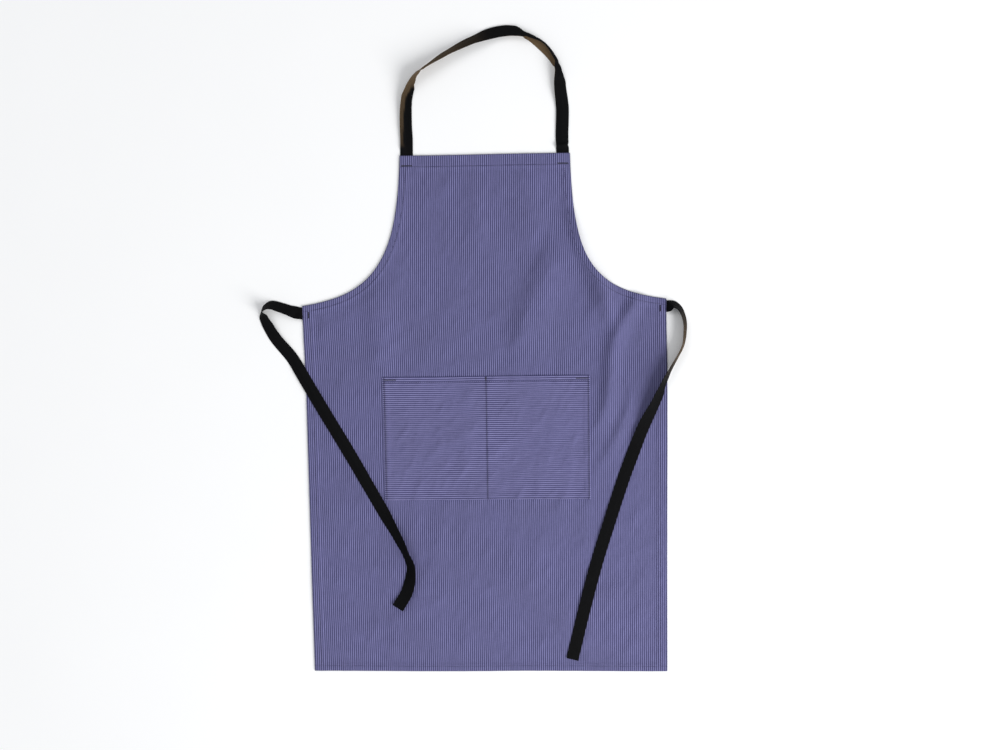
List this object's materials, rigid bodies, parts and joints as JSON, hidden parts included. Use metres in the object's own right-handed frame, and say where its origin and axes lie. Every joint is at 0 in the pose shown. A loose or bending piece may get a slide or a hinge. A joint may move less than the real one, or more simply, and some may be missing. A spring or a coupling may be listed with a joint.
{
  "type": "bib apron",
  "caption": "Striped cotton butcher apron laid flat: bib with neck strap, skirt with two waist ties and a divided patch pocket.",
  "frame": {"origin": "middle of the cloth panel on its flat underside, which lies on the table", "axes": "+X to the right across the apron, +Y up towards the neck strap, +Z out of the face of the cloth"},
  "size_m": [0.7031, 1.0688, 0.0224],
  "materials": {
    "body_cloth": "fine striped cotton twill, matt",
    "pocket_cloth": "fine striped cotton twill, stripes across, matt",
    "black_tape": "woven tape, soft sheen",
    "navy_thread": "sewing thread",
    "black_thread": "sewing thread"
  },
  "bodies": {
    "apron": {"body_panel": "body_cloth", "pocket_panel": "pocket_cloth", "neck_strap_left_sewn_end": "black_tape", "neck_strap_right_sewn_end": "black_tape", "left_tie_sewn_end": "black_tape", "right_tie_sewn_end": "black_tape", "bib_hem_thread": "navy_thread", "bottom_hem_thread": "navy_thread", "left_side_hem_thread": "navy_thread", "left_armhole_hem_thread": "navy_thread", "neck_strap_left_tack": "black_thread", "left_tie_tack": "black_thread", "pocket_left_corner_tack": "black_thread", "right_side_hem_thread": "navy_thread", "right_armhole_hem_thread": "navy_thread", "neck_strap_right_tack": "black_thread", "right_tie_tack": "black_thread", "pocket_right_corner_tack": "black_thread", "pocket_mouth_thread": "navy_thread", "pocket_edge_thread": "navy_thread", "pocket_divider_thread": "navy_thread", "pocket_divider_tack": "black_thread"},
    "neck_loop": {"neck_strap": "black_tape"},
    "left_tie_tail": {"left_tie": "black_tape"},
    "right_tie_tail": {"right_tie": "black_tape"}
  },
  "joints": [
    {"name": "neck_strap_fold", "type": "hinge", "parent": "apron", "child": "neck_loop", "pos_m": [0, 0.439, 0.00245], "axis": [1, 0, 0], "range_deg": [0, 165]},
    {"name": "left_tie_fold", "type": "hinge", "parent": "apron", "child": "left_tie_tail", "pos_m": [-0.286, 0.041, 0.0048], "axis": [-0.8682, -0.4961, 0], "range_deg": [0, 150]},
    {"name": "right_tie_fold", "type": "hinge", "parent": "apron", "child": "right_tie_tail", "pos_m": [0.238, -0.074, 0.00335], "axis": [-0.9398, 0.3418, 0], "range_deg": [0, 150]}
  ]
}
